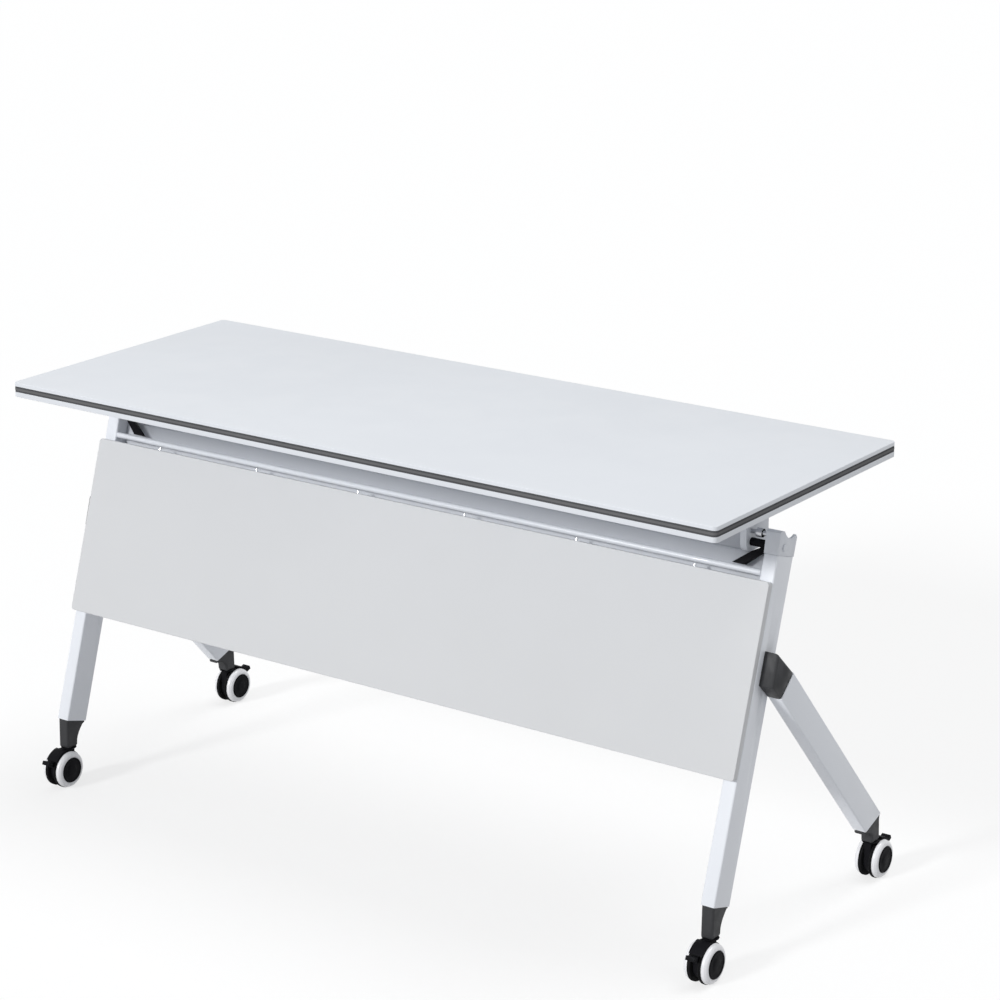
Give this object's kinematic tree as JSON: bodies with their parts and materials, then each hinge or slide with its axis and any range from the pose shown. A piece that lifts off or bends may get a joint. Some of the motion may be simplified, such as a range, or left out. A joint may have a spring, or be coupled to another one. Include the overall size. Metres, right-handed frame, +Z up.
{
  "type": "flip top training table",
  "caption": "Flip top training table: laminate top on cast pivot arms, raked tube legs joined by a beam, a modesty panel, release levers and braked twin wheel casters.",
  "frame": {"origin": "on the floor, midway between the front and rear caster swivels and between the two leg frames", "axes": "+X along the table's length, -Y towards the modesty panel, +Z up"},
  "size_m": [1.4356, 0.5862, 0.75],
  "materials": {
    "top_laminate": "white melamine laminate, satin, on board",
    "edge_band": "dark grey edge banding",
    "panel_laminate": "pale grey laminate, satin, on board",
    "coated_steel": "silver white powder coat",
    "cast_aluminium": "silver powder coat on cast aluminium",
    "plug_plastic": "dark grey moulded plastic",
    "black_plastic": "black moulded plastic",
    "rim_plastic": "pale grey moulded plastic",
    "tyre": "dark grey tread",
    "steel": "zinc plated steel",
    "steel_black": "blackened steel"
  },
  "bodies": {
    "frame": {"main_beam": "coated_steel", "beam_crest": "coated_steel", "panel_rail": "coated_steel", "modesty_panel": "panel_laminate", "front_leg_right": "coated_steel", "rear_leg_right": "coated_steel", "leg_head_right": "cast_aluminium", "pivot_pin_right": "steel", "joint_cover_right": "plug_plastic", "joint_bolt_right": "steel", "front_plug_right": "plug_plastic", "rear_plug_right": "plug_plastic", "front_leg_left": "coated_steel", "rear_leg_left": "coated_steel", "leg_head_left": "cast_aluminium", "pivot_pin_left": "steel", "joint_cover_left": "plug_plastic", "joint_bolt_left": "steel", "front_plug_left": "plug_plastic", "rear_plug_left": "plug_plastic"},
    "top": {"table_top": "top_laminate", "edge_band": "edge_band", "flip_arm_right": "cast_aluminium", "flip_arm_left": "cast_aluminium"},
    "right_lever": {"release_lever_right": "black_plastic"},
    "right_lock_pin": {"lock_pin_right": "steel"},
    "left_lever": {"release_lever_left": "black_plastic"},
    "left_lock_pin": {"lock_pin_left": "steel"},
    "front_right_swivel": {"front_right_caster_stem": "steel_black", "front_right_caster_hood": "black_plastic", "front_right_axle": "steel"},
    "front_right_outer_wheel": {"front_right_wheel_outer": "tyre", "front_right_rim_outer": "rim_plastic"},
    "front_right_inner_wheel": {"front_right_wheel_inner": "tyre", "front_right_rim_inner": "rim_plastic"},
    "front_right_brake": {"front_right_brake_pedal": "black_plastic"},
    "front_left_swivel": {"front_left_caster_stem": "steel_black", "front_left_caster_hood": "black_plastic", "front_left_axle": "steel"},
    "front_left_outer_wheel": {"front_left_wheel_outer": "tyre", "front_left_rim_outer": "rim_plastic"},
    "front_left_inner_wheel": {"front_left_wheel_inner": "tyre", "front_left_rim_inner": "rim_plastic"},
    "front_left_brake": {"front_left_brake_pedal": "black_plastic"},
    "rear_right_swivel": {"rear_right_caster_stem": "steel_black", "rear_right_caster_hood": "black_plastic", "rear_right_axle": "steel"},
    "rear_right_outer_wheel": {"rear_right_wheel_outer": "tyre", "rear_right_rim_outer": "rim_plastic"},
    "rear_right_inner_wheel": {"rear_right_wheel_inner": "tyre", "rear_right_rim_inner": "rim_plastic"},
    "rear_right_brake": {"rear_right_brake_pedal": "black_plastic"},
    "rear_left_swivel": {"rear_left_caster_stem": "steel_black", "rear_left_caster_hood": "black_plastic", "rear_left_axle": "steel"},
    "rear_left_outer_wheel": {"rear_left_wheel_outer": "tyre", "rear_left_rim_outer": "rim_plastic"},
    "rear_left_inner_wheel": {"rear_left_wheel_inner": "tyre", "rear_left_rim_inner": "rim_plastic"},
    "rear_left_brake": {"rear_left_brake_pedal": "black_plastic"}
  },
  "joints": [
    {"name": "top_flip", "type": "hinge", "parent": "frame", "child": "top", "pos_m": [0, -0.06167, 0.653], "axis": [1, 0, 0], "range_deg": [0, 75]},
    {"name": "right_lever_pull", "type": "hinge", "parent": "frame", "child": "right_lever", "pos_m": [0.6407, -0.06167, 0.653], "axis": [1, 0, 0], "range_deg": [-12.5, 8.5]},
    {"name": "right_lock_slide", "type": "slide", "parent": "frame", "child": "right_lock_pin", "axis": [1, 0, 0], "range_m": [-0.008, 0.0053], "stiffness_N_per_m": 300},
    {"name": "left_lever_pull", "type": "hinge", "parent": "frame", "child": "left_lever", "pos_m": [-0.6407, -0.06167, 0.653], "axis": [1, 0, 0], "range_deg": [-12.5, 8.5]},
    {"name": "left_lock_slide", "type": "slide", "parent": "frame", "child": "left_lock_pin", "axis": [-1, 0, 0], "range_m": [-0.008, 0.0053], "stiffness_N_per_m": 300},
    {"name": "front_right_swivel_turn", "type": "hinge", "parent": "frame", "child": "front_right_swivel", "pos_m": [0.6695, -0.2315, 0.0685], "axis": [0, 0, 1], "continuous": true},
    {"name": "front_right_outer_roll", "type": "hinge", "parent": "front_right_swivel", "child": "front_right_outer_wheel", "pos_m": [0.6695, -0.2475, 0.0335], "axis": [1, 0, 0], "continuous": true},
    {"name": "front_right_inner_roll", "type": "hinge", "parent": "front_right_swivel", "child": "front_right_inner_wheel", "pos_m": [0.6695, -0.2475, 0.0335], "axis": [1, 0, 0], "continuous": true},
    {"name": "front_right_brake_press", "type": "hinge", "parent": "front_right_swivel", "child": "front_right_brake", "pos_m": [0.6695, -0.2745, 0.0455], "axis": [1, 0, 0], "range_deg": [0, 18]},
    {"name": "front_left_swivel_turn", "type": "hinge", "parent": "frame", "child": "front_left_swivel", "pos_m": [-0.6695, -0.2315, 0.0685], "axis": [0, 0, 1], "continuous": true},
    {"name": "front_left_outer_roll", "type": "hinge", "parent": "front_left_swivel", "child": "front_left_outer_wheel", "pos_m": [-0.6695, -0.2475, 0.0335], "axis": [1, 0, 0], "continuous": true},
    {"name": "front_left_inner_roll", "type": "hinge", "parent": "front_left_swivel", "child": "front_left_inner_wheel", "pos_m": [-0.6695, -0.2475, 0.0335], "axis": [1, 0, 0], "continuous": true},
    {"name": "front_left_brake_press", "type": "hinge", "parent": "front_left_swivel", "child": "front_left_brake", "pos_m": [-0.6695, -0.2745, 0.0455], "axis": [1, 0, 0], "range_deg": [0, 18]},
    {"name": "rear_right_swivel_turn", "type": "hinge", "parent": "frame", "child": "rear_right_swivel", "pos_m": [0.6948, 0.2315, 0.0685], "axis": [0, 0, 1], "continuous": true},
    {"name": "rear_right_outer_roll", "type": "hinge", "parent": "rear_right_swivel", "child": "rear_right_outer_wheel", "pos_m": [0.6948, 0.2475, 0.0335], "axis": [1, 0, 0], "continuous": true},
    {"name": "rear_right_inner_roll", "type": "hinge", "parent": "rear_right_swivel", "child": "rear_right_inner_wheel", "pos_m": [0.6948, 0.2475, 0.0335], "axis": [1, 0, 0], "continuous": true},
    {"name": "rear_right_brake_press", "type": "hinge", "parent": "rear_right_swivel", "child": "rear_right_brake", "pos_m": [0.6948, 0.2745, 0.0455], "axis": [-1, 0, 0], "range_deg": [0, 18]},
    {"name": "rear_left_swivel_turn", "type": "hinge", "parent": "frame", "child": "rear_left_swivel", "pos_m": [-0.6948, 0.2315, 0.0685], "axis": [0, 0, 1], "continuous": true},
    {"name": "rear_left_outer_roll", "type": "hinge", "parent": "rear_left_swivel", "child": "rear_left_outer_wheel", "pos_m": [-0.6948, 0.2475, 0.0335], "axis": [1, 0, 0], "continuous": true},
    {"name": "rear_left_inner_roll", "type": "hinge", "parent": "rear_left_swivel", "child": "rear_left_inner_wheel", "pos_m": [-0.6948, 0.2475, 0.0335], "axis": [1, 0, 0], "continuous": true},
    {"name": "rear_left_brake_press", "type": "hinge", "parent": "rear_left_swivel", "child": "rear_left_brake", "pos_m": [-0.6948, 0.2745, 0.0455], "axis": [-1, 0, 0], "range_deg": [0, 18]}
  ],
  "couplings": [
    {"joint": "right_lever_pull", "follows": "right_lock_slide", "rad_per_m": 26},
    {"joint": "left_lever_pull", "follows": "left_lock_slide", "rad_per_m": 26}
  ]
}
